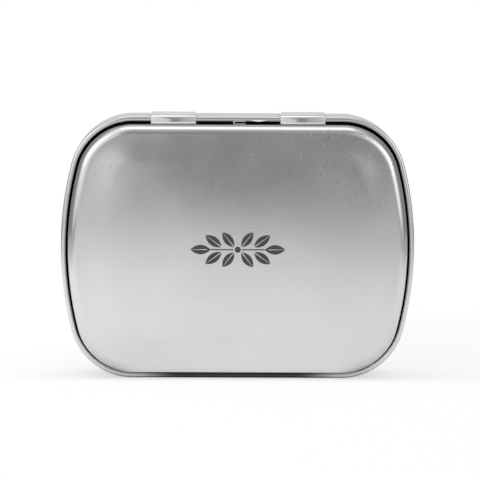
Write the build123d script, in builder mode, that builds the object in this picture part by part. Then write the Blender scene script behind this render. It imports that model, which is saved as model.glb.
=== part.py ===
from build123d import *
from math import atan2, degrees, radians, sqrt, tan
import os

# A hinged pocket mint tin standing on its long front edge, lid towards the viewer.
# Millimetres. +Z is up, the lid's face looks along -Y and the hinges are at the top.
# The origin lies under the middle of the tin, on the surface that it stands on.

# The tin's outline and depth
width = 60.0
height = 44.5
depth = 15.5
side_bow_radius = 56.5
corner_radius = 10.85
sheet = 0.25

# The base: a pan whose front edge is rolled inwards over a wire
base_edge_radius = 1.5
roll_diameter = 0.9
curl_slit = 0.05
wire_play = 0.02
wire_end_gap = 0.4

# The lid: a shallower pan that plugs into the rolled rim and hangs a little low in it
lid_gap = 0.36
lid_sag = 0.08
lid_stand = 3.55
lid_edge_radius = 1.5
skirt_reach = 3.5
hem_length = 1.2

# The two hinge straps: brackets on the lid's wall that pass round the rolled rim
strap_width = 7.6
strap_spacing = 21.9
strap_play = 0.05
strap_slope_angle = 20.0
strap_back = 1.5
strap_bend_radius = 0.3
strap_top_radius = 0.4
strap_front_leaf = 1.3
strap_rear_leaf = 1.3
strap_taper_width = 0.3
strap_taper_start = 0.3
window_side_play = 0.2
window_rear_play = 0.2

# The folded stop lug on the lid's wall, midway between the hinges
lug_offset = 0.2
lug_width = 2.1
lug_height = 0.64
lug_sheet = 0.17
lug_depth = 0.4
lug_roll_play = 0.1

# The lens-shaped lip where the rolled rim's ends are joined
lip_offset = 3.45
lip_length = 2.7
lip_height = 0.25
lip_thickness = 0.3
lip_drop = 0.185
lip_proud = 0.01

overrun = 1.0

# Places that follow from the sizes above
roll_radius = roll_diameter / 2
roll_mid_radius = roll_radius - sheet / 2
front_y = -depth / 2
back_y = depth / 2
roll_y = front_y + lid_stand
roll_z = height - roll_radius
lid_inset = roll_diameter + lid_gap
lid_wall_z = height - lid_inset - lid_sag
skirt_y = roll_y + skirt_reach

# The corner arcs lie inside the bowed side arcs and meet them, and the long edges, smoothly
side_centre_x = width / 2 - side_bow_radius
corner_z = height / 2 - corner_radius
corner_x = side_centre_x + sqrt((side_bow_radius - corner_radius) ** 2 - corner_z**2)
join_angle = degrees(atan2(corner_z, corner_x - side_centre_x))


def upright(y, drop=0):
    """The upright plane across the tin at depth y, facing the viewer, centred on the outline or a drop below."""
    return Plane(origin=(0, y, height / 2 - drop), x_dir=(1, 0, 0), z_dir=(0, -1, 0))


def outline(inset, gap=0):
    """The tin's outline drawn in by inset, from the top centre round to it again, left open by gap."""
    top = height / 2 - inset
    corner = corner_radius - inset
    side = side_bow_radius - inset
    quarter = 90 - join_angle
    Line((-gap / 2, top), (-corner_x, top))
    CenterArc((-corner_x, corner_z), corner, 90, quarter)
    CenterArc((-side_centre_x, 0), side, 180 - join_angle, 2 * join_angle)
    CenterArc((-corner_x, -corner_z), corner, 180 + join_angle, quarter)
    Line((-corner_x, -top), (corner_x, -top))
    CenterArc((corner_x, -corner_z), corner, 270, quarter)
    CenterArc((side_centre_x, 0), side, -join_angle, 2 * join_angle)
    CenterArc((corner_x, corner_z), corner, join_angle, quarter)
    Line((corner_x, top), (gap / 2, top))


def save(piece, name):
    """Names a finished piece and writes it to its own file."""
    piece.label = name
    export_step(piece, f"parts/{name}.step")


os.makedirs("parts", exist_ok=True)

# The loop of a hinge strap, seen along the hinge axis, which is the rolled rim's centre.
# It leaves the lid's wall in front of the roll, bends round it, slopes up and back,
# drops through the window behind the roll and ends in a leaf on the lid's wall again.
strap_mid_radius = roll_radius + strap_play + sheet / 2
leaf_z = lid_wall_z + sheet / 2
strap_front_y = roll_y - strap_mid_radius
strap_rear_y = roll_y + strap_back
nose_z = roll_z + strap_mid_radius * tan(radians(90 - strap_slope_angle) / 2)
crest_z = nose_z + (strap_rear_y - strap_front_y) * tan(radians(strap_slope_angle))
strap_points = [
    (strap_front_y - strap_front_leaf, leaf_z),
    (strap_front_y, leaf_z),
    (strap_front_y, nose_z),
    (strap_rear_y, crest_z),
    (strap_rear_y, leaf_z),
    (strap_rear_y + strap_rear_leaf, leaf_z),
]
strap_bends = [strap_bend_radius, strap_mid_radius, strap_top_radius, strap_bend_radius]

# The crest's rounding is the loop's furthest reach from the axis, and sets the window's length
crest_rounding_y = strap_back - strap_top_radius
crest_line_z = nose_z - roll_z + (crest_rounding_y + strap_mid_radius) * tan(radians(strap_slope_angle))
crest_rounding_z = crest_line_z - strap_top_radius * sqrt(1 + tan(radians(strap_slope_angle)) ** 2)
strap_reach = sqrt(crest_rounding_y**2 + crest_rounding_z**2) + strap_top_radius + sheet / 2
window_length = strap_reach + window_rear_play
window_width = strap_width + 2 * window_side_play
strap_places = {"left": -strap_spacing / 2, "right": strap_spacing / 2}

# Base: the drawn pan
with BuildPart() as base_shell:
    with BuildSketch(upright(back_y)):
        with BuildLine():
            outline(0)
        make_face()
    extrude(amount=back_y - roll_y)
    back_face = base_shell.faces().sort_by(Axis.Y)[-1]
    fillet(back_face.edges(), base_edge_radius)
    offset(amount=-sheet, openings=base_shell.faces().sort_by(Axis.Y)[0])

    # Its front edge is rolled inwards, almost back to the wall
    with BuildLine(upright(roll_y)) as rim_path:
        outline(0)
    with BuildSketch(Plane(origin=(0, roll_y, roll_z), x_dir=(0, 1, 0), z_dir=(1, 0, 0))) as curl:
        with BuildLine():
            tip_height = roll_radius - sheet - curl_slit
            tip_angle = degrees(atan2(tip_height, sqrt(roll_radius**2 - tip_height**2)))
            CenterArc((0, 0), roll_mid_radius, 90, 270 + tip_angle)
        trace(line_width=sheet)
    sweep(sections=curl.sketch, path=rim_path.wires()[0])

    # A window behind the roll lets each hinge strap through the wall
    for strap_x in strap_places.values():
        window_centre_y = roll_y + window_length / 2
        with BuildSketch(Plane.XY.offset(height - sheet)):
            with Locations((strap_x, window_centre_y)):
                Rectangle(window_width, window_length)
        extrude(amount=sheet + overrun, mode=Mode.SUBTRACT)

    # The joint of the rolled strip shows as a lens-shaped lip under the roll
    with BuildSketch(Plane.XZ.offset(-roll_y + roll_radius + lip_proud)):
        lip_top_z = roll_z - lip_drop
        with BuildLine():
            lip_left = (lip_offset - lip_length / 2, lip_top_z)
            lip_right = (lip_offset + lip_length / 2, lip_top_z)
            Line(lip_left, lip_right)
            ThreePointArc(lip_left, (lip_offset, lip_top_z - lip_height), lip_right)
        make_face()
    extrude(amount=-lip_thickness)
save(base_shell.part, "base_shell")

# The wire inside the rolled rim, whose ends meet at the top centre
with BuildPart() as rim_wire:
    with BuildLine(upright(roll_y)) as wire_path:
        outline(roll_radius, wire_end_gap)
    with BuildSketch(Plane(origin=wire_path.line @ 0, z_dir=wire_path.line % 0)) as wire_section:
        Circle(roll_radius - sheet - wire_play)
    sweep(sections=wire_section.sketch, path=wire_path.wires()[0])
save(rim_wire.part, "rim_wire")

# Lid: a drawn pan with a rounded face edge, parallel to the rim all round
with BuildPart() as lid_shell:
    with BuildSketch(upright(skirt_y, lid_sag)):
        with BuildLine():
            outline(lid_inset)
        make_face()
    extrude(amount=skirt_y - front_y)
    lid_face = lid_shell.faces().sort_by(Axis.Y)[0]
    fillet(lid_face.edges(), lid_edge_radius)
    offset(amount=-sheet, openings=lid_shell.faces().sort_by(Axis.Y)[-1])

    # The wall's raw edge is folded back inside as a flat hem
    with BuildSketch(upright(skirt_y, lid_sag)):
        with BuildLine():
            outline(lid_inset + sheet)
        make_face()
        with BuildLine():
            outline(lid_inset + 2 * sheet)
        make_face(mode=Mode.SUBTRACT)
    extrude(amount=hem_length)
save(lid_shell.part, "lid_shell")

# Hinge straps: bent strips on the lid's wall, tapered towards the rear
for side, strap_x in strap_places.items():
    with BuildPart() as hinge_strap:
        with BuildSketch(Plane.YZ.offset(strap_x - strap_width / 2)):
            with BuildLine():
                FilletPolyline(*strap_points, radius=strap_bends)
            trace(line_width=sheet)
        extrude(amount=strap_width)
        taper_front_y = roll_y + strap_taper_start
        taper_rear_y = strap_rear_y + sheet / 2
        leaf_end_y = strap_rear_y + strap_rear_leaf + overrun
        full_half = strap_width / 2
        narrow_half = full_half - strap_taper_width
        with BuildSketch(Plane.XY.offset(lid_wall_z - overrun)):
            with BuildLine():
                Polyline(
                    (strap_x - full_half, front_y),
                    (strap_x + full_half, front_y),
                    (strap_x + full_half, taper_front_y),
                    (strap_x + narrow_half, taper_rear_y),
                    (strap_x + narrow_half, leaf_end_y),
                    (strap_x - narrow_half, leaf_end_y),
                    (strap_x - narrow_half, taper_rear_y),
                    (strap_x - full_half, taper_front_y),
                    close=True,
                )
            make_face()
        extrude(amount=crest_z - lid_wall_z + 2 * overrun, mode=Mode.INTERSECT)
    save(hinge_strap.part, f"hinge_strap_{side}")

# Stop lug: a strip folded double on the lid's wall, its slit open to the right
with BuildPart() as stop_lug:
    lug_rear_y = roll_y - roll_radius - lug_roll_play
    lug_low_z = lid_wall_z + lug_sheet / 2
    lug_high_z = lid_wall_z + lug_height - lug_sheet / 2
    lug_left = lug_offset - lug_width / 2
    lug_right = lug_offset + lug_width / 2
    with BuildSketch(Plane.XZ.offset(-lug_rear_y)):
        with BuildLine():
            lug_fold_radius = (lug_high_z - lug_low_z) / 2
            lug_fold_x = lug_left + lug_sheet / 2 + lug_fold_radius
            Line((lug_right, lug_high_z), (lug_fold_x, lug_high_z))
            CenterArc((lug_fold_x, lug_low_z + lug_fold_radius), lug_fold_radius, 90, 180)
            Line((lug_fold_x, lug_low_z), (lug_right, lug_low_z))
        trace(line_width=lug_sheet)
    extrude(amount=lug_depth)
save(stop_lug.part, "stop_lug")

print(f"hinge axis at y {roll_y:.3f}, z {roll_z:.3f}; crest at z {roll_z + crest_rounding_z:.3f}")
print(f"strap reach {strap_reach:.3f}, window {window_width:.2f} by {window_length:.2f}")
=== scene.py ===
import math

import bpy
import numpy as np
from mathutils import Matrix, Vector


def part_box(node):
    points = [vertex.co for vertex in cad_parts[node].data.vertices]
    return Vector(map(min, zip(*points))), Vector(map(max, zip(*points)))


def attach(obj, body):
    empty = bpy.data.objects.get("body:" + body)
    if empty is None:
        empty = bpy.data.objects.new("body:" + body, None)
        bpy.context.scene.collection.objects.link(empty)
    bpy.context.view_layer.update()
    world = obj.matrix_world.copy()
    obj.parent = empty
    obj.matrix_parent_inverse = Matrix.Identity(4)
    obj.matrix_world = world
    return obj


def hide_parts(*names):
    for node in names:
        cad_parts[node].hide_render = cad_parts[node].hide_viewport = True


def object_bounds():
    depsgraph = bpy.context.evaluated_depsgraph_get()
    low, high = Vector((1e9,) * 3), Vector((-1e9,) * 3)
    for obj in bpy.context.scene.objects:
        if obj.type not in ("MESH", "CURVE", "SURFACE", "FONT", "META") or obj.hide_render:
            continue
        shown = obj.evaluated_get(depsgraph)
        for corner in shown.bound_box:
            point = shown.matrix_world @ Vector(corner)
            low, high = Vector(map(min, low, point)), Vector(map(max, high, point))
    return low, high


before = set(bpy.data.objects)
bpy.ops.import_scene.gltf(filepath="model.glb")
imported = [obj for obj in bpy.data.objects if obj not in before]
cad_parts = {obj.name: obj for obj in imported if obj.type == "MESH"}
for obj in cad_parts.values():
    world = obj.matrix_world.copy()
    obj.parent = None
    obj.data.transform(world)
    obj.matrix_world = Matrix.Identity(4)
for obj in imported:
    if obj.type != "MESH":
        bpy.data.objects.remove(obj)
cad_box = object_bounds()

# The base is a pan drawn from tinplate, with its mouth towards the viewer. Its front edge is rolled
# inwards over a wire and pressed a little flat. Two windows behind it let the hinge straps through.
base_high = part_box("base_shell")[1]
half_width = base_high.x
half_height = base_high.z / 2
back_y = base_high.y
side_bow_radius = 0.0565
corner_radius = 0.01085
sheet = 0.00025
base_edge_radius = 0.0015
roll_radius = 0.00045
roll_press = 0.75
curl_slit = 0.00005
face_to_roll = 0.00355
bend_margin = 1.1
bend_gap = 0.0001
panel_rim = 0.009
panel_dish = 0.00008
base_inner_ring = 0.06
roll_y = cad_box[0].y + face_to_roll
roll_z = base_high.z - roll_radius
strap_places = [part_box("hinge_strap_left"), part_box("hinge_strap_right")]
window_side_play = 0.0002
window_length = 0.002

side_centre_x = half_width - side_bow_radius
corner_z = half_height - corner_radius
corner_x = side_centre_x + math.sqrt((side_bow_radius - corner_radius) ** 2 - corner_z**2)
join_angle = math.atan2(corner_z, corner_x - side_centre_x)


def tin_outline(stations, corner_steps, side_steps):
    """Points and outward normals round the tin, anticlockwise from the right end of the top edge. The
    long edge is straight, with points at the given places in x. Along each arc the normal's angle
    runs evenly, and a point is the arc's centre plus its radius times the normal. The second half
    of the outline is the first turned by half a turn."""
    quarter = math.pi / 2
    arcs = [
        (-corner_x, corner_z, corner_radius, quarter, math.pi - join_angle, corner_steps),
        (-side_centre_x, 0.0, side_bow_radius, math.pi - join_angle, math.pi + join_angle, side_steps),
        (-corner_x, -corner_z, corner_radius, math.pi + join_angle, 3 * quarter, corner_steps),
    ]
    points = [np.column_stack([stations[::-1], np.full(len(stations), half_height)])]
    normals = [np.tile((0.0, 1.0), (len(stations), 1))]
    for centre_x, centre_z, radius, start, stop, steps in arcs:
        angle = np.linspace(start, stop, steps + 1)[1:]
        normals.append(np.column_stack([np.cos(angle), np.sin(angle)]))
        points.append(np.array([centre_x, centre_z]) + radius * normals[-1])
    half_points = np.vstack(points)[:-1]
    half_normals = np.vstack(normals)[:-1]
    return np.vstack([half_points, -half_points]), np.vstack([half_normals, -half_normals])


def bow(inset, depth, radius, start, stop, steps, press=1.0):
    """A round stretch of a profile. The angle is 0 towards the viewer and 90 degrees outwards: a point's
    inset is the centre's less radius times sine, its depth the centre's less radius times cosine. Under
    1, the press is a power on both sine and cosine, which flattens the bow towards a square."""
    angle = np.radians(np.linspace(start, stop, steps + 1))
    sine = np.sign(np.sin(angle)) * np.abs(np.sin(angle)) ** press
    cosine = np.sign(np.cos(angle)) * np.abs(np.cos(angle)) ** press
    return np.column_stack([inset - radius * sine, depth - radius * cosine, np.ones(steps + 1)])


def run(start, stop, steps):
    """A straight stretch of a profile between two (inset, depth, share of full size) points."""
    return np.linspace(start, stop, steps + 1)


crown_start = 0.0015
crown_fade = 0.005


def crowned(x, z, inset):
    """How much of a panel's crown stands at a place: a product of two parabolas, 1 in the middle and
    0 at the edges, faded in smoothly over the first few millimetres from the rounded edge."""
    fade = np.clip((inset - crown_start) / crown_fade, 0, 1)
    pillow = (1 - (x / half_width) ** 2) * (1 - (z / half_height) ** 2)
    return np.clip(pillow, 0, 1) * fade * fade * (3 - 2 * fade)


def carried_round(profile, points, normals, inset, crown, middle_z):
    """A profile carried round the outline. A point stands in from the outline, along its normal, by
    the profile's inset, at the profile's depth. Where the profile's third value is under 1, the ring
    is drawn in towards the middle by it. The crown moves the panels along the depth."""
    reach = inset + profile[:, 0]
    rings = points[None] - reach[:, None, None] * normals[None]
    rings = rings * profile[:, 2][:, None, None]
    x, z = rings[..., 0], rings[..., 1]
    y = profile[:, 1][:, None] - crown * crowned(x, z, profile[:, 0][:, None])
    return np.stack([x, y, z + middle_z], axis=-1)


def ring_faces(rings, columns):
    """Four-sided faces between each ring of a grid and the next, closed round the outline."""
    row, column = np.meshgrid(np.arange(rings - 1), np.arange(columns), indexing="ij")
    a = row * columns + column
    b = row * columns + (column + 1) % columns
    return np.stack([a, b, b + columns, a + columns], axis=-1)


def closed_pan(rings, quads, first_pole, last_pole):
    """Vertices and faces of a pan whose first and last rings close on a point each, with fans of
    triangles."""
    count, columns = rings.shape[:2]
    vertices = np.vstack([rings.reshape(-1, 3), first_pole, last_pole])
    a = np.arange(columns)
    b = (a + 1) % columns
    pole = np.full(columns, count * columns)
    last = (count - 1) * columns
    first_fan = np.column_stack([pole, b, a])
    last_fan = np.column_stack([pole + 1, last + a, last + b])
    return vertices, [quads.reshape(-1, 4), first_fan, last_fan]


def make_piece(name, vertices, faces, body, material, sharp_degrees=40):
    """Puts a surface into a mesh object at the origin, smooth but for its sharp edges, on its body.
    The faces come as arrays, one for each number of corners."""
    mesh = bpy.data.meshes.new(name)
    polygons = [polygon for part in faces for polygon in part.tolist()]
    mesh.from_pydata(vertices.reshape(-1, 3).tolist(), [], polygons)
    mesh.validate()
    mesh.shade_smooth()
    mesh.set_sharp_from_angle(angle=math.radians(sharp_degrees))
    mesh.materials.append(material)
    piece = bpy.data.objects.new(name, mesh)
    bpy.context.collection.objects.link(piece)
    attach(piece, body)
    return piece


def add_node(tree, kind, **settings):
    """A node of a material, with its settings."""
    node = tree.nodes.new(kind)
    for key, value in settings.items():
        setattr(node, key, value)
    return node


def reckon(tree, operation, *terms):
    """One step of arithmetic on values and numbers."""
    node = add_node(tree, "ShaderNodeMath", operation=operation)
    for socket, term in zip(node.inputs, terms):
        if isinstance(term, (int, float)):
            socket.default_value = term
        else:
            tree.links.new(term, socket)
    return node.outputs["Value"]


def ramp(tree, value, low, high, to_low, to_high):
    """Leads a value smoothly from one range to another, and keeps it there outside."""
    node = add_node(tree, "ShaderNodeMapRange", interpolation_type="SMOOTHSTEP")
    for socket, number in zip(("From Min", "From Max", "To Min", "To Max"), (low, high, to_low, to_high)):
        node.inputs[socket].default_value = number
    tree.links.new(value, node.inputs["Value"])
    return node.outputs["Result"]


def turn_towards(tree, socket, share, other):
    """Puts a blend towards another colour or number, by a share, in front of a shader's socket."""
    node = add_node(tree, "ShaderNodeMix", data_type="RGBA" if socket.type == "RGBA" else "FLOAT")
    tree.links.new(share, node.inputs["Factor"])
    if socket.is_linked:
        tree.links.new(socket.links[0].from_socket, node.inputs["A"])
    else:
        node.inputs["A"].default_value = socket.default_value
    node.inputs["B"].default_value = other
    tree.links.new(node.outputs["Result"], socket)


def own_place(tree):
    """A place on the piece itself, all three lengths together."""
    return add_node(tree, "ShaderNodeTexCoord").outputs["Object"]


def apart(tree, place):
    """A place's X, Y and Z, each for itself."""
    split = add_node(tree, "ShaderNodeSeparateXYZ")
    tree.links.new(place, split.inputs["Vector"])
    return split.outputs


def noise(tree, place, scale, detail):
    """Soft random patches, so many a metre, from 0 to 1."""
    texture = add_node(tree, "ShaderNodeTexNoise")
    texture.inputs["Scale"].default_value = scale
    texture.inputs["Detail"].default_value = detail
    tree.links.new(place, texture.inputs["Vector"])
    return texture.outputs["Fac"]


def cells(tree, place, scale, inner, outer):
    """Dots scattered at one a cell, full inside one radius and gone at another, in shares of a cell, and
    the random colour of each dot's cell, as three numbers."""
    texture = add_node(tree, "ShaderNodeTexVoronoi")
    texture.inputs["Scale"].default_value = scale
    tree.links.new(place, texture.inputs["Vector"])
    chance = add_node(tree, "ShaderNodeSeparateColor")
    tree.links.new(texture.outputs["Color"], chance.inputs["Color"])
    return ramp(tree, texture.outputs["Distance"], inner, outer, 1.0, 0.0), chance.outputs


cloud_scale, patch_scale, grain_scale, dent_scale = 70.0, 130.0, 5000.0, 800.0
dent_core, dent_rim = 0.05, 0.2
tone_swing = 0.03
patch_gloss = (-0.01, 0.03)
grain_gloss = 0.02
millimetre = 0.001


def tinplate(name, tone, roughness, waviness, grain, dents):
    """Satin tinplate. The surface's height, in millimetres, is the sum of a slow waviness, which makes
    reflections cloudy, a fine grain, and small dents: the dots of a cell pattern where a patch noise
    is high. Gloss follows the patches and the grain, and the tone varies slowly by a few percent."""
    material = bpy.data.materials.new(name)
    material.use_nodes = True
    tree = material.node_tree
    shader = tree.nodes["Principled BSDF"]
    shader.inputs["Metallic"].default_value = 1.0
    place = own_place(tree)
    cloud = noise(tree, place, cloud_scale, 2.0)
    fine = noise(tree, place, grain_scale, 2.0)
    patch = noise(tree, place, patch_scale, 3.0)

    shader.inputs["Base Color"].default_value = tuple((1 - tone_swing) * c for c in tone) + (1.0,)
    turn_towards(tree, shader.inputs["Base Color"], ramp(tree, cloud, 0.3, 0.7, 0.0, 1.0),
                 tuple((1 + tone_swing) * c for c in tone) + (1.0,))

    patch_low, patch_high = roughness + patch_gloss[0], roughness + patch_gloss[1]
    gloss = reckon(tree, "ADD", ramp(tree, patch, 0.35, 0.75, patch_low, patch_high),
                   ramp(tree, fine, 0.3, 0.7, -grain_gloss, grain_gloss))
    tree.links.new(gloss, shader.inputs["Roughness"])

    dots, chance = cells(tree, place, dent_scale, dent_core, dent_rim)
    dots = reckon(tree, "MULTIPLY", dots, ramp(tree, chance["Red"], 0.7, 0.75, 0.0, 1.0))
    dimples = reckon(tree, "MULTIPLY", dots, ramp(tree, patch, 0.5, 0.62, 0.0, -dents))

    height = reckon(tree, "MULTIPLY_ADD", fine, grain, dimples)
    height = reckon(tree, "MULTIPLY_ADD", cloud, waviness, height)
    bump = add_node(tree, "ShaderNodeBump")
    bump.inputs["Strength"].default_value = 1.0
    bump.inputs["Distance"].default_value = millimetre
    tree.links.new(height, bump.inputs["Height"])
    tree.links.new(bump.outputs["Normal"], shader.inputs["Normal"])
    return material


window_edges = []
for low, high in strap_places:
    window_edges += [low.x - window_side_play, high.x + window_side_play]
window_rear_y = roll_y + window_length
base_stations = np.concatenate([np.linspace(-corner_x, corner_x, 81), window_edges])
base_stations = np.unique(np.round(base_stations, 8))
base_points, base_normals = tin_outline(base_stations, corner_steps=36, side_steps=40)

# The outside's profile runs from the panel's middle to the tip of the roll, and the inside's back again.
# A ring just beyond each bend keeps the flats beside it flat in their shading.
tip_height = roll_radius - sheet - curl_slit
tip_angle = -180 - math.degrees(math.asin(tip_height / roll_radius))
wall_y = back_y - base_edge_radius
bend_foot = bend_margin * base_edge_radius
inner_y = back_y - sheet
outside = [
    run((panel_rim, back_y, base_inner_ring), (panel_rim, back_y, 1.0), 14),
    run((panel_rim, back_y, 1.0), (bend_foot, back_y, 1.0), 12)[1:],
    bow(base_edge_radius, wall_y, base_edge_radius, 180, 90, 12),
    run((0.0, wall_y - bend_gap, 1.0), (0.0, window_rear_y, 1.0), 8),
    run((0.0, window_rear_y, 1.0), (0.0, roll_y, 1.0), 2)[1:],
    bow(roll_radius, roll_y, roll_radius, 90, -90, 26, roll_press)[1:],
    bow(roll_radius, roll_y, roll_radius, -90, tip_angle, 13)[1:],
]
inside = [
    bow(roll_radius, roll_y, roll_radius - sheet, tip_angle, 90, 24),
    run((sheet, roll_y, 1.0), (sheet, window_rear_y, 1.0), 2)[1:],
    run((sheet, window_rear_y, 1.0), (sheet, wall_y - bend_gap, 1.0), 8)[1:],
    bow(base_edge_radius, wall_y, base_edge_radius - sheet, 90, 180, 12),
    run((bend_foot, inner_y, 1.0), (panel_rim, inner_y, 1.0), 12),
    run((panel_rim, inner_y, 1.0), (panel_rim, inner_y, base_inner_ring), 14)[1:],
]
outside_profile = np.vstack(outside)
inside_profile = np.vstack(inside)
base_profile = np.vstack([outside_profile, inside_profile])
base_rings = carried_round(base_profile, base_points, base_normals, 0.0, panel_dish, half_height)
base_quads = ring_faces(len(base_profile), len(base_points))

# The windows: the wall's faces go, outside and inside, and the sheet's cut edges close them
window_rings = 2
outer_rear = sum(len(part) for part in outside[:4]) - 1
outer_front = outer_rear + window_rings
inner_front = len(outside_profile) + len(inside[0]) - 1
inner_rear = inner_front + window_rings
columns = len(base_points)
top_edge_x = base_points[: len(base_stations), 0]
base_keep = np.ones(base_quads.shape[:2], bool)
cut_edges = []
for left_x, right_x in zip(window_edges[0::2], window_edges[1::2]):
    first = int(np.argmin(np.abs(top_edge_x - right_x)))
    last = int(np.argmin(np.abs(top_edge_x - left_x)))
    base_keep[outer_rear:outer_front, first:last] = False
    base_keep[inner_front:inner_rear, first:last] = False
    column = np.arange(first, last)
    for outer_row, inner_row, flip in ((outer_rear, inner_rear, 1), (outer_front, inner_front, -1)):
        edge = np.stack([outer_row * columns + column, outer_row * columns + column + 1,
                         inner_row * columns + column + 1, inner_row * columns + column], axis=-1)
        cut_edges.append(edge[:, ::flip])
    outer = outer_rear + np.arange(window_rings)
    inner = inner_rear - np.arange(window_rings)
    rows = np.stack([outer, outer + 1, inner - 1, inner], axis=-1)
    for side, flip in ((first, -1), (last, 1)):
        cut_edges.append((rows * columns + side)[:, ::flip])
pole_y = back_y - panel_dish
base_poles = np.array([[0.0, pole_y, half_height], [0.0, pole_y - sheet, half_height]])
base_vertices, base_faces = closed_pan(base_rings, base_quads[base_keep], base_poles[:1], base_poles[1:])
base_tinplate = tinplate("base_satin_tinplate", tone=(0.7, 0.7, 0.695), roughness=0.11,
                         waviness=0.005, grain=0.0002, dents=0.002)
base_pan = make_piece("base_pan", base_vertices, base_faces + cut_edges,
                      "base", base_tinplate)
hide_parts("base_shell")

# The roll is painted dark along the middle of the long edge that the tin stands on: painted shade,
# standing in for the contact shadow under the lid's lower edge
painted_shade_tone = (0.02, 0.02, 0.02, 1.0)
painted_shade_share = 0.95
painted_shade_full_half, painted_shade_half = 0.01, 0.021
painted_shade_height = 0.00095
painted_shade_blur = 0.0001
base_tree = base_tinplate.node_tree
base_color = base_tree.nodes["Principled BSDF"].inputs["Base Color"]
base_parts = apart(base_tree, own_place(base_tree))
painted_shade_reach = reckon(base_tree, "ABSOLUTE", base_parts["X"])
painted_shade = ramp(base_tree, painted_shade_reach, painted_shade_full_half, painted_shade_half, painted_shade_share, 0.0)
painted_shade_low = ramp(base_tree, base_parts["Z"], painted_shade_height - painted_shade_blur, painted_shade_height + painted_shade_blur, 1.0, 0.0)
painted_shade = reckon(base_tree, "MULTIPLY", painted_shade, painted_shade_low)
turn_towards(base_tree, base_color, painted_shade, painted_shade_tone)

# The lip is where the rolled strip's ends are joined: a small lens of sheet on the lower front of the
# roll, right of the middle. It is pressed out a little at its foot, so it catches the light.
lip_x = 0.00345
lip_length = 0.0027
lip_height = 0.00025
lip_drop = 0.000185
lip_slant = 0.00017
lip_thickness = 0.00012
lip_root_y = roll_y - roll_radius
lip_top_z = roll_z - lip_drop
lip_steps = 48
lip_round_steps = 24


def lens_plate():
    """A plate seen as a lens. Across it the first parameter runs from end to end, and the second round
    its section, a flat ellipse slanted forwards. The section's height is a parabola along the length."""
    u = np.linspace(-1, 1, lip_steps + 1)[1:-1][:, None]
    v = np.linspace(0, 2 * math.pi, lip_round_steps + 1)[:-1][None]
    tall = lip_height * (1 - u**2)
    x = lip_x + lip_length / 2 * u + 0 * v
    z = lip_top_z - tall / 2 * (1 - np.cos(v))
    thick = lip_thickness / 2 * np.sqrt(1 - u**2)
    y = lip_root_y - lip_slant * (lip_top_z - z) / lip_height + thick * np.sin(v)
    return np.stack([x, y, z], axis=-1)


lip_rings = lens_plate()
lip_ends = lip_length / 2 * np.array([[-1.0, 0.0, 0.0], [1.0, 0.0, 0.0]])
lip_ends = lip_ends + (lip_x, lip_root_y, lip_top_z)
lip_quads = ring_faces(len(lip_rings), lip_rings.shape[1])
lip_vertices, lip_faces = closed_pan(lip_rings, lip_quads, lip_ends[:1], lip_ends[1:])
make_piece("rim_joint_lip", lip_vertices, lip_faces, "base", base_tinplate)

# The rim wire is drawn steel, hidden in the roll but for the slit behind it. The CAD node's own
# shape is right, so it only gets its finish.
wire_steel = tinplate("drawn_steel_wire", tone=(0.5, 0.5, 0.5), roughness=0.35,
                      waviness=0.0, grain=0.0005, dents=0.0)
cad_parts["rim_wire"].material_slots[0].material = wire_steel

# The lid is a shallower pan with a softly rounded face edge and a faint crown. It plugs into the
# rolled rim with a dark gap all round, and its wall's raw edge is folded back inside as a hem.
lid_low, lid_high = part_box("lid_shell")
front_y = lid_low.y
skirt_y = lid_high.y
lid_middle_z = (lid_low.z + lid_high.z) / 2
lid_inset = half_width - lid_high.x
lid_edge_radius = 0.0015
lid_crown = 0.0003
hem_length = 0.0012
lid_lean = 0.0001
lean_height = 0.005
lid_inner_ring = 0.04

lid_stations = np.linspace(-corner_x, corner_x, 97)
lid_points, lid_normals = tin_outline(lid_stations, corner_steps=40, side_steps=40)
face_y = front_y + lid_crown
edge_y = face_y + lid_edge_radius
edge_foot = bend_margin * lid_edge_radius
lining_y = face_y + sheet
fold_y = skirt_y - sheet
hem_y = skirt_y - hem_length
lid_outside = np.vstack([
    run((panel_rim, face_y, lid_inner_ring), (panel_rim, face_y, 1.0), 24),
    run((panel_rim, face_y, 1.0), (edge_foot, face_y, 1.0), 24)[1:],
    bow(lid_edge_radius, edge_y, lid_edge_radius, 0, 90, 16),
    run((0.0, edge_y + bend_gap, 1.0), (0.0, fold_y, 1.0), 6),
])
lid_inside = np.vstack([
    bow(sheet, fold_y, sheet, 90, 270, 10)[1:],
    run((2 * sheet, fold_y, 1.0), (2 * sheet, hem_y, 1.0), 2)[1:],
    run((2 * sheet, hem_y, 1.0), (sheet, hem_y, 1.0), 1)[1:],
    run((sheet, hem_y, 1.0), (sheet, edge_y + bend_gap, 1.0), 4)[1:],
    bow(lid_edge_radius, edge_y, lid_edge_radius - sheet, 90, 0, 12),
    run((edge_foot, lining_y, 1.0), (panel_rim, lining_y, 1.0), 16),
    run((panel_rim, lining_y, 1.0), (panel_rim, lining_y, lid_inner_ring), 16)[1:],
])
lid_profile = np.vstack([lid_outside, lid_inside])
lid_rings = carried_round(lid_profile, lid_points, lid_normals, lid_inset, lid_crown, lid_middle_z)

# The lower wall leans down a little towards the face: by its share of the way to the face, times the
# square of its share of the way down
way_forward = np.clip((skirt_y - lid_rings[..., 1]) / (skirt_y - edge_y), 0, 1)
way_down = np.clip((lean_height - lid_rings[..., 2]) / (lean_height - lid_low.z), 0, 1)
lid_rings[..., 2] -= lid_lean * way_forward * way_down**2
lid_poles = np.array([[0.0, front_y, lid_middle_z], [0.0, front_y + sheet, lid_middle_z]])
lid_quads = ring_faces(len(lid_profile), len(lid_points))
lid_vertices, lid_faces = closed_pan(lid_rings, lid_quads, lid_poles[:1], lid_poles[1:])
lid_faces = [part[:, ::-1] for part in lid_faces]
lid_tinplate = tinplate("lid_satin_tinplate", tone=(0.705, 0.7, 0.7), roughness=0.1,
                        waviness=0.02, grain=0.0002, dents=0.006)
lid_pan = make_piece("lid_pan", lid_vertices, lid_faces, "lid", lid_tinplate)
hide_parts("lid_shell")
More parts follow.
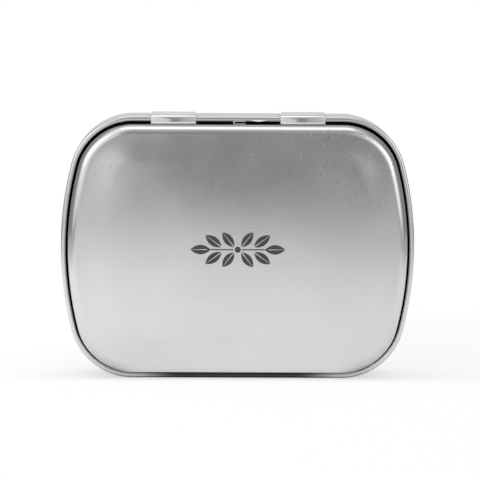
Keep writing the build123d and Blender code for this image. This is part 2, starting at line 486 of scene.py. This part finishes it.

# The drawn wall is rougher than the face and painted darker, as painted shade in the gap by the rolled
# rim, but not on its lower side.
# Light and dark flecks lie scattered on the face, most of them in its upper right.
wall_painted_shade_tone = (0.38, 0.378, 0.375, 1.0)
wall_roughness = 0.35
dull_and_shade_start, dull_and_shade_full = 0.0009, 0.0002
dull_and_shade_low_z, dull_and_shade_high_z = 0.004, 0.009
dark_fleck = (0.4, 0.4, 0.4, 1.0)
light_fleck = (1.0, 1.0, 1.0, 1.0)
fleck_strength = 0.6
fleck_scale = 1500.0
fleck_core, fleck_rim = 0.1, 0.36
fleck_centre = (0.0175, 0.0, 0.0365)
fleck_full_reach, fleck_reach = 0.009, 0.0165
fleck_elsewhere = 0.06
lid_tree = lid_tinplate.node_tree
lid_shader = lid_tree.nodes["Principled BSDF"]
lid_color, lid_gloss = lid_shader.inputs["Base Color"], lid_shader.inputs["Roughness"]
lid_place = own_place(lid_tree)
lid_parts = apart(lid_tree, lid_place)
lid_x, lid_y, lid_z = lid_parts["X"], lid_parts["Y"], lid_parts["Z"]
dull_and_shaded = ramp(lid_tree, lid_y, edge_y - dull_and_shade_start, edge_y - dull_and_shade_full, 0.0, 1.0)
dull_and_shaded = reckon(lid_tree, "MULTIPLY", dull_and_shaded, ramp(lid_tree, lid_z, dull_and_shade_low_z, dull_and_shade_high_z, 0.0, 1.0))
# Painted shade: towards the gap by the rolled rim the wall's colour turns darker, and its roughness rises
turn_towards(lid_tree, lid_color, dull_and_shaded, wall_painted_shade_tone)
turn_towards(lid_tree, lid_gloss, dull_and_shaded, wall_roughness)

fleck_distance = add_node(lid_tree, "ShaderNodeVectorMath", operation="DISTANCE")
lid_tree.links.new(lid_place, fleck_distance.inputs[0])
fleck_distance.inputs[1].default_value = fleck_centre
fleck_zone = ramp(lid_tree, fleck_distance.outputs["Value"], fleck_full_reach, fleck_reach,
                  1.0, fleck_elsewhere)
flecks, fleck_chance = cells(lid_tree, lid_place, fleck_scale, fleck_core, fleck_rim)
flecks = reckon(lid_tree, "MULTIPLY", flecks, fleck_zone)
for chance, low, high, tone in (("Red", 0.82, 0.88, dark_fleck), ("Green", 0.7, 0.78, light_fleck)):
    drawn = ramp(lid_tree, fleck_chance[chance], low, high, 0.0, fleck_strength)
    turn_towards(lid_tree, lid_color, reckon(lid_tree, "MULTIPLY", flecks, drawn), tone)

# The middle of the lid carries a small ornament of mint leaves, printed in dark grey ink. It is
# the same in all four quarters. Each leaf has a toothed edge and a fine midrib left bare.
ink = (0.045, 0.046, 0.044, 1.0)
ink_roughness = 0.5
ink_edge = 0.00003
print_depth = 0.00015
leaves = [
    ((0.0063, 0.0), 0, 0.0034, 0.00155),
    ((0.0041, 0.00142), 36, 0.0034, 0.0015),
    ((0.0016, 0.00168), 52, 0.0032, 0.00145),
]
tooth_length = 0.0002
tooth_height = 0.00007
teeth_start = 50 * tooth_length
midrib_half = 0.00005
midrib_taper = 0.02
stem_half = 0.0001
stem_reach = (0.0007, 0.0052)
bud_radius = 0.00052


def leaf_distance(across, up, centre, lean, length, width):
    """How far a place lies outside a leaf. Along the leaf its half width is a parabola, full in the middle
    and nothing at both tips, with small teeth on it, and a fine line along the middle is the midrib."""
    cos, sin = math.cos(math.radians(lean)), math.sin(math.radians(lean))
    along = reckon(lid_tree, "MULTIPLY_ADD", up, sin, reckon(lid_tree, "MULTIPLY", across, cos))
    along = reckon(lid_tree, "SUBTRACT", along, centre[0] * cos + centre[1] * sin)
    beside = reckon(lid_tree, "MULTIPLY_ADD", across, -sin, reckon(lid_tree, "MULTIPLY", up, cos))
    beside = reckon(lid_tree, "SUBTRACT", beside, centre[1] * cos - centre[0] * sin)
    beside = reckon(lid_tree, "ABSOLUTE", beside)
    square = reckon(lid_tree, "MULTIPLY", along, along)
    bulge = reckon(lid_tree, "MULTIPLY_ADD", square, -2 * width / length**2, width / 2)
    teeth = reckon(lid_tree, "PINGPONG", reckon(lid_tree, "ADD", along, teeth_start), tooth_length)
    bulge = reckon(lid_tree, "MULTIPLY_ADD", teeth, tooth_height / tooth_length, bulge)
    midrib = reckon(lid_tree, "MULTIPLY_ADD", along, -midrib_taper, midrib_half)
    return reckon(lid_tree, "MAXIMUM", reckon(lid_tree, "SUBTRACT", beside, bulge),
                  reckon(lid_tree, "SUBTRACT", midrib, beside))


across = reckon(lid_tree, "ABSOLUTE", lid_x)
up = reckon(lid_tree, "ABSOLUTE", reckon(lid_tree, "SUBTRACT", lid_z, lid_middle_z))
stem = reckon(lid_tree, "MAXIMUM", reckon(lid_tree, "SUBTRACT", up, stem_half),
              reckon(lid_tree, "SUBTRACT", stem_reach[0], across))
ornament = reckon(lid_tree, "MAXIMUM", stem, reckon(lid_tree, "SUBTRACT", across, stem_reach[1]))
bud = reckon(lid_tree, "MULTIPLY_ADD", across, across, reckon(lid_tree, "MULTIPLY", up, up))
bud = reckon(lid_tree, "SUBTRACT", reckon(lid_tree, "SQRT", bud), bud_radius)
ornament = reckon(lid_tree, "MINIMUM", ornament, bud)
for leaf in leaves:
    ornament = reckon(lid_tree, "MINIMUM", ornament, leaf_distance(across, up, *leaf))
inked = ramp(lid_tree, ornament, -ink_edge / 2, ink_edge / 2, 1.0, 0.0)
inked = reckon(lid_tree, "MULTIPLY", inked, reckon(lid_tree, "LESS_THAN", lid_y, front_y + print_depth))
turn_towards(lid_tree, lid_color, inked, ink)
turn_towards(lid_tree, lid_gloss, inked, ink_roughness)
turn_towards(lid_tree, lid_shader.inputs["Metallic"], inked, 0.0)

# The hinge straps are strips of tinplate bent into a loop round the rolled rim. Both ends lie on
# the lid's wall, and the loop passes through the window behind the roll. The rear is tapered.
strap_play = 0.00005
strap_slope = math.radians(20.0)
strap_back = 0.0015
strap_bend_radius = 0.0003
strap_top_radius = 0.0004
strap_front_leaf = 0.0013
strap_rear_leaf = 0.0013
strap_taper_width = 0.0003
strap_taper_start = 0.0003
strap_edge = 0.00004
lid_wall_z = lid_high.z
strap_mid_radius = roll_radius + strap_play + sheet / 2
leaf_z = lid_wall_z + sheet / 2
strap_front_y = roll_y - strap_mid_radius
strap_rear_y = roll_y + strap_back
nose_z = roll_z + strap_mid_radius * math.tan((math.pi / 2 - strap_slope) / 2)
crest_z = nose_z + (strap_rear_y - strap_front_y) * math.tan(strap_slope)


def bent_line(corners, radii, steps):
    """A line of straight stretches joined by tangent arcs, with its left-hand normals. An arc's tangent
    length is its radius times the tangent of half the turn, and its centre stands off by its radius."""
    corners = np.asarray(corners, float)
    points, normals = [corners[0]], []
    legs = np.diff(corners, axis=0)
    headings = legs / np.linalg.norm(legs, axis=1)[:, None]
    lefts = np.column_stack([-headings[:, 1], headings[:, 0]])
    normals.append(lefts[0])
    for i, radius in enumerate(radii):
        before, after = headings[i], headings[i + 1]
        turn = math.atan2(before[0] * after[1] - before[1] * after[0], float(before @ after))
        start = corners[i + 1] - before * radius * math.tan(abs(turn) / 2)
        centre = start + math.copysign(radius, turn) * lefts[i]
        swing = np.linspace(0, turn, steps + 1)
        cos, sin = np.cos(swing), np.sin(swing)
        left = np.column_stack([cos * lefts[i, 0] - sin * lefts[i, 1],
                                sin * lefts[i, 0] + cos * lefts[i, 1]])
        points.extend(centre - math.copysign(radius, turn) * left)
        normals.extend(left)
    points.append(corners[-1])
    normals.append(lefts[-1])
    return np.array(points), np.array(normals)


def bent_strip(line, normals, thickness, half_widths, edge):
    """A strip of sheet bent along a line: a loop of the line moved half the thickness to each side, set
    at stations across the width. Towards each side the last stations follow a quarter circle, which
    rounds the cut edges. Returns a grid of stations by loop points: across, along and up."""
    turn = np.radians([90.0, 60.0, 30.0, 0.0])
    halves = thickness / 2 - edge + edge * np.cos(turn)
    insets = edge - edge * np.sin(turn)
    grid = []
    for side, order in ((-1.0, slice(None)), (1.0, slice(None, None, -1))):
        for half, inset in zip(halves[order], insets[order]):
            loop = np.vstack([line + normals * half, (line - normals * half)[::-1]])
            across = side * (np.concatenate([half_widths, half_widths[::-1]]) - inset)
            grid.append(np.column_stack([across, loop]))
    return np.stack(grid)


def strip_faces(stations, loop):
    """The faces of a bent strip: round its loop between stations, and across its two cut sides."""
    a = np.arange(loop // 2 - 1)
    first = np.stack([a, loop - 1 - a, loop - 2 - a, a + 1], axis=-1)
    last = first[:, ::-1] + (stations - 1) * loop
    return [ring_faces(stations, loop).reshape(-1, 4), first, last]


strap_corners = [
    (strap_front_y - strap_front_leaf, leaf_z),
    (strap_front_y, leaf_z),
    (strap_front_y, nose_z),
    (strap_rear_y, crest_z),
    (strap_rear_y, leaf_z),
    (strap_rear_y + strap_rear_leaf, leaf_z),
]
strap_bends = [strap_bend_radius, strap_mid_radius, strap_top_radius, strap_bend_radius]
strap_line, strap_normals = bent_line(strap_corners, strap_bends, steps=14)
strap_tinplate = tinplate("strap_satin_tinplate", tone=(0.7, 0.695, 0.69), roughness=0.09,
                          waviness=0.0, grain=0.0002, dents=0.0)
taper_ends = (roll_y + strap_taper_start, strap_rear_y + sheet / 2)
narrowing = np.interp(strap_line[:, 0], taper_ends, (0.0, strap_taper_width))
for side, (low, high) in zip(("left", "right"), strap_places):
    middle_x = (low.x + high.x) / 2
    strap_half = (high.x - low.x) / 2
    strip = bent_strip(strap_line, strap_normals, sheet, strap_half - narrowing, strap_edge)
    strip[..., 0] += middle_x
    strap = make_piece("hinge_strap_bent_" + side, strip, strip_faces(*strip.shape[:2]),
                       "lid", strap_tinplate)
    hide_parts("hinge_strap_" + side)

# The stop lug is a narrow strip folded double on the lid's wall, in front of the roll and midway
# between the hinges. Its slit is open to the right.
lug_low, lug_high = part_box("stop_lug")
lug_sheet = 0.00017
lug_edge = 0.00007
lug_fold_radius = (lug_high.z - lug_low.z - lug_sheet) / 2
lug_fold_x = lug_low.x + lug_sheet / 2 + lug_fold_radius
lug_middle_z = (lug_low.z + lug_high.z) / 2
fold_angle = np.linspace(math.pi / 2, 3 * math.pi / 2, 21)
fold_normals = np.column_stack([np.cos(fold_angle), np.sin(fold_angle)])
lug_line = np.array([lug_fold_x, lug_middle_z]) + lug_fold_radius * fold_normals
lug_line = np.vstack([[lug_high.x, lug_line[0, 1]], lug_line, [lug_high.x, lug_line[-1, 1]]])
lug_normals = np.vstack([fold_normals[:1], fold_normals, fold_normals[-1:]])
lug_half = np.full(len(lug_line), (lug_high.y - lug_low.y) / 2)
lug_grid = bent_strip(lug_line, lug_normals, lug_sheet, lug_half, lug_edge)
lug_grid[..., 0] += (lug_low.y + lug_high.y) / 2
lug_vertices = lug_grid[..., [1, 0, 2]]
# Painted light: the lug's tinplate is a lighter copy of the lid's, so that the small strip shows bright
lug_brightened_tinplate = tinplate("lug_satin_tinplate", tone=(0.8, 0.795, 0.79), roughness=0.1,
                        waviness=0.0, grain=0.0002, dents=0.0)
lug = make_piece("stop_lug_folded", lug_vertices, strip_faces(*lug_grid.shape[:2]),
                 "lid", lug_brightened_tinplate)
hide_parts("stop_lug")

# The studio: the tin stands on white paper, and the lid mirrors it. The paper's colour is painted with
# shade: darker towards the viewer, to the right and far to both sides, with a painted soft shadow in front
# on the right and a painted pool of light, a paler patch, in front on the left. Away from the tin the
# camera sees the paper as white.
paper_left_x, paper_right_x = -0.5, 0.5
paper_front_y, paper_back_y = -0.65, 0.3
paper_roughness = 0.9
paper_sheen = 0.1
paper_white = 0.95
paper_painted_dark = 0.35
dark_y, white_y = -0.6, -0.05
painted_light_tone = 0.6
pale_full_x, pale_x = -0.045, -0.017
right_shade_share = 0.87
right_turn = 0.05
shade_change = -0.155
shade_x, shade_full_x = 0.015, 0.05
shade_front_y, shade_full_front_y = -0.48, -0.32
shade_full_back_y, shade_back_y = -0.3, -0.16
far_shade_share = 0.52
near_reach, far_reach = 0.1, 0.28

floor_mesh = bpy.data.meshes.new("floor")
paper_corners = [
    (paper_left_x, paper_front_y, 0),
    (paper_right_x, paper_front_y, 0),
    (paper_right_x, paper_back_y, 0),
    (paper_left_x, paper_back_y, 0),
]
floor_mesh.from_pydata(paper_corners, [], [(0, 1, 2, 3)])
floor = bpy.data.objects.new("floor", floor_mesh)
bpy.context.collection.objects.link(floor)

paper_material = bpy.data.materials.new("white_paper")
paper_material.use_nodes = True
paper = paper_material.node_tree
paper_shader = paper.nodes["Principled BSDF"]
paper_shader.inputs["Roughness"].default_value = paper_roughness
paper_shader.inputs["Specular IOR Level"].default_value = paper_sheen
paper_place = own_place(paper)
paper_parts = apart(paper, paper_place)
paper_x, paper_y = paper_parts["X"], paper_parts["Y"]
paper_aside = reckon(paper, "ABSOLUTE", paper_x)
# Painted shade: the paper's colour darkens where less light would fall on it, and a painted pool of light
# pales it on the left
paper_tone = ramp(paper, paper_y, dark_y, white_y, paper_painted_dark, paper_white)
painted_light_patch = ramp(paper, paper_x, pale_full_x, pale_x, painted_light_tone, 0.0)
paper_tone = reckon(paper, "MAXIMUM", paper_tone, painted_light_patch)
to_right = ramp(paper, paper_x, -right_turn, right_turn, 1.0, right_shade_share)
paper_tone = reckon(paper, "MULTIPLY", paper_tone, to_right)
shade = reckon(paper, "MULTIPLY",
               ramp(paper, paper_y, shade_front_y, shade_full_front_y, 0.0, shade_change),
               ramp(paper, paper_y, shade_full_back_y, shade_back_y, 1.0, 0.0))
shade = reckon(paper, "MULTIPLY", shade, ramp(paper, paper_x, shade_x, shade_full_x, 0.0, 1.0))
paper_tone = reckon(paper, "MULTIPLY_ADD", paper_tone, shade, paper_tone)
far_shade = ramp(paper, paper_aside, near_reach, far_reach, 1.0, far_shade_share)
paper_tone = reckon(paper, "MULTIPLY", paper_tone, far_shade)
paper.links.new(paper_tone, paper_shader.inputs["Base Color"])

# What the camera sees is lifted to white: wholly away from the tin, nearly so in front of it, and
# less beside and behind it, where its shadow lies
lift_start, lift_full = 0.05, 0.12
lift_in_front, lift_beside = 0.97, 0.6
in_front_y, beside_y = -0.014, -0.004
paper_rays = add_node(paper, "ShaderNodeLightPath").outputs
paper_distance = add_node(paper, "ShaderNodeVectorMath", operation="LENGTH")
paper.links.new(paper_place, paper_distance.inputs[0])
lift = reckon(paper, "MAXIMUM", ramp(paper, paper_y, in_front_y, beside_y, lift_in_front, lift_beside),
              ramp(paper, paper_distance.outputs["Value"], lift_start, lift_full, 0.0, 1.0))
lift = reckon(paper, "MULTIPLY", lift, paper_rays["Is Camera Ray"])

# For mirrored rays the paper glows up to the foot of the rolled rim, but for the tin's corners: a painted
# light, so the metal mirrors the paper as bright where the tin's shadow lies
foot_glow_share = 0.75
foot_full_half, foot_half = 0.016, 0.022
foot_far_y, foot_near_y = -0.06, -0.012
roll_front_y = roll_y - roll_radius
foot_full_gap, foot_gap = 0.0003, 0.0001
painted_foot_glow = ramp(paper, paper_aside, foot_full_half, foot_half, foot_glow_share, 0.0)
painted_foot_glow = reckon(paper, "MULTIPLY", painted_foot_glow, ramp(paper, paper_y, foot_far_y, foot_near_y, 0.0, 1.0))
painted_foot_glow = reckon(paper, "MULTIPLY", painted_foot_glow,
              ramp(paper, paper_y, roll_front_y - foot_full_gap, roll_front_y - foot_gap, 1.0, 0.0))
lift = reckon(paper, "MULTIPLY_ADD", painted_foot_glow, paper_rays["Is Glossy Ray"], lift)

paper_glow = add_node(paper, "ShaderNodeEmission")
paper_mix = add_node(paper, "ShaderNodeMixShader")
paper.links.new(lift, paper_mix.inputs["Fac"])
paper.links.new(paper_shader.outputs["BSDF"], paper_mix.inputs[1])
paper.links.new(paper_glow.outputs["Emission"], paper_mix.inputs[2])
paper.links.new(paper_mix.outputs["Shader"], paper.nodes["Material Output"].inputs["Surface"])
floor_mesh.materials.append(paper_material)

# The room is white for the camera, and lights the paper evenly from above. Metal mirrors its grey
# walls, a pale back, pale screens on both sides of the camera, a small dark flag above it, and
# umbrellas overhead, behind, on the left and on the right. Each has a direction and a level.
fill_low, fill_high = 0.3, 1.2
fill_low_up, fill_high_up = 0.05, 0.6
wall_level = 0.28
back_level = 0.66
back_axis = (0.0, 1.0, 0.35)
back_start, back_full = 0.8, 0.93
camera_axis = (0.06, -1.0, 0.0)
screen_level = 0.51
left_screen_axis = (-1.0, 0.0, -0.25)
left_screen_start, left_screen_full = 0.03, 0.06
right_screen_axis = (1.0, 0.0, 0.25)
right_screen_start, right_screen_full = 0.05, 0.1
right_screen_share = 0.44
screen_start, screen_full = 0.75, 0.95
screen_full_up, screen_up = 0.2, 0.45
flag_change = -0.1
flag_start, flag_full = 0.8, 0.93
flag_up, flag_full_up = 0.03, 0.15
flag_full_half, flag_half = 0.05, 0.15
umbrellas = [
    ((-0.05, -0.12, 0.99), 7.5, 1.0),
    ((0.0, 0.75, 0.66), 20, 0.25),
    ((-0.64, -0.63, 0.435), 10, 1.65),
    ((0.64, -0.705, 0.3), 13, 1.5),
]

world = bpy.data.worlds.new("studio")
bpy.context.scene.world = world
world.use_nodes = True
room = world.node_tree
direction = add_node(room, "ShaderNodeTexCoord").outputs["Generated"]


def facing(axis):
    """How far a direction in the room points along an axis: the cosine of the angle between them."""
    node = add_node(room, "ShaderNodeVectorMath", operation="DOT_PRODUCT")
    room.links.new(direction, node.inputs[0])
    node.inputs[1].default_value = Vector(axis).normalized()
    return node.outputs["Value"]


ahead = facing(camera_axis)
upward = facing((0.0, 0.0, 1.0))
sideways = reckon(room, "ABSOLUTE", facing((1.0, 0.0, 0.0)))
room_tone = ramp(room, facing(back_axis), back_start, back_full, wall_level, back_level)

left_screen = ramp(room, facing(left_screen_axis), left_screen_start, left_screen_full, 0.0, screen_level)
right_screen = ramp(room, facing(right_screen_axis), right_screen_start, right_screen_full,
                    0.0, right_screen_share * screen_level)
screens = reckon(room, "ADD", left_screen, right_screen)
screens = reckon(room, "MULTIPLY", screens, ramp(room, ahead, screen_start, screen_full, 0.0, 1.0))
screens = reckon(room, "MULTIPLY", screens, ramp(room, upward, screen_full_up, screen_up, 1.0, 0.0))
room_tone = reckon(room, "ADD", room_tone, screens)

flag = reckon(room, "MULTIPLY", ramp(room, ahead, flag_start, flag_full, 0.0, flag_change),
              ramp(room, upward, flag_up, flag_full_up, 0.0, 1.0))
flag = reckon(room, "MULTIPLY", flag, ramp(room, sideways, flag_full_half, flag_half, 1.0, 0.0))
room_tone = reckon(room, "ADD", room_tone, flag)

# An umbrella's glow is its level times a power of the cosine of the angle from its axis
for axis, sharpness, level in umbrellas:
    glow = reckon(room, "POWER", reckon(room, "MAXIMUM", facing(axis), 0.0), sharpness)
    room_tone = reckon(room, "MULTIPLY_ADD", glow, level, room_tone)

room_rays = add_node(room, "ShaderNodeLightPath").outputs
mirrored = reckon(room, "MAXIMUM", room_rays["Is Glossy Ray"], room_rays["Is Transmission Ray"])
room_light = room.nodes["Background"]
room_light.inputs["Color"].default_value = (1.0, 1.0, 1.0, 1.0)
room_fill = ramp(room, upward, fill_low_up, fill_high_up, fill_low, fill_high)
mirror_change = reckon(room, "SUBTRACT", room_tone, room_fill)
room_level = reckon(room, "MULTIPLY_ADD", mirrored, mirror_change, room_fill)
room.links.new(room_level, room_light.inputs["Strength"])
turn_towards(room, room_light.inputs["Strength"], room_rays["Is Camera Ray"], 1.0)

# One soft lamp hangs over the tin and faces it. Its power is its level times pi times its area, so
# that it looks as bright as a white surface of that level.
softbox_place = Vector((0.0, -0.12, 0.6))
softbox_size = 0.35
softbox_level = 0.4
tin_middle = Vector((0.0, 0.0, half_height))
lamp = bpy.data.lights.new("overhead_softbox", "AREA")
lamp.shape = "RECTANGLE"
lamp.size = softbox_size
lamp.size_y = softbox_size
lamp.energy = softbox_level * math.pi * softbox_size * softbox_size
softbox = bpy.data.objects.new("overhead_softbox", lamp)
bpy.context.collection.objects.link(softbox)
softbox.location = softbox_place
softbox.rotation_euler = (tin_middle - softbox_place).to_track_quat("-Z", "Y").to_euler()

# The camera stands 600 mm in front of the lid, a little above it, with a long lens. It is turned by
# the small yaw and roll that the tin's edges have in the picture.
picture_size = 480
focal_pixels = 3556.0
camera_distance = 0.6
camera_elevation = math.radians(5.18)
camera_yaw = math.radians(-0.66)
camera_roll = math.radians(0.28)
tin_centre_pixels = (237.8, 249.25)
film_width = 36.0

sin_e, cos_e = math.sin(camera_elevation), math.cos(camera_elevation)
sin_y, cos_y = math.sin(camera_yaw), math.cos(camera_yaw)
line_of_sight = Vector((-sin_y * cos_e, cos_y * cos_e, -sin_e))
level_right = Vector((cos_y, sin_y, 0.0))
level_up = Vector((-sin_y * sin_e, cos_y * sin_e, cos_e))
camera_right = level_right * math.cos(camera_roll) + level_up * math.sin(camera_roll)
camera_up = level_up * math.cos(camera_roll) - level_right * math.sin(camera_roll)
lens = bpy.data.cameras.new("camera")
lens.sensor_width = film_width
lens.lens = focal_pixels / picture_size * film_width
lens.shift_x = (picture_size / 2 - tin_centre_pixels[0]) / picture_size
lens.shift_y = (tin_centre_pixels[1] - picture_size / 2) / picture_size
camera = bpy.data.objects.new("camera", lens)
bpy.context.collection.objects.link(camera)
camera_place = Vector((0.0, front_y, half_height)) - line_of_sight * camera_distance
camera_axes = Matrix((camera_right, camera_up, -line_of_sight)).transposed().to_4x4()
camera.matrix_world = Matrix.Translation(camera_place) @ camera_axes
bpy.context.scene.camera = camera
bpy.context.scene.view_settings.view_transform = "Standard"
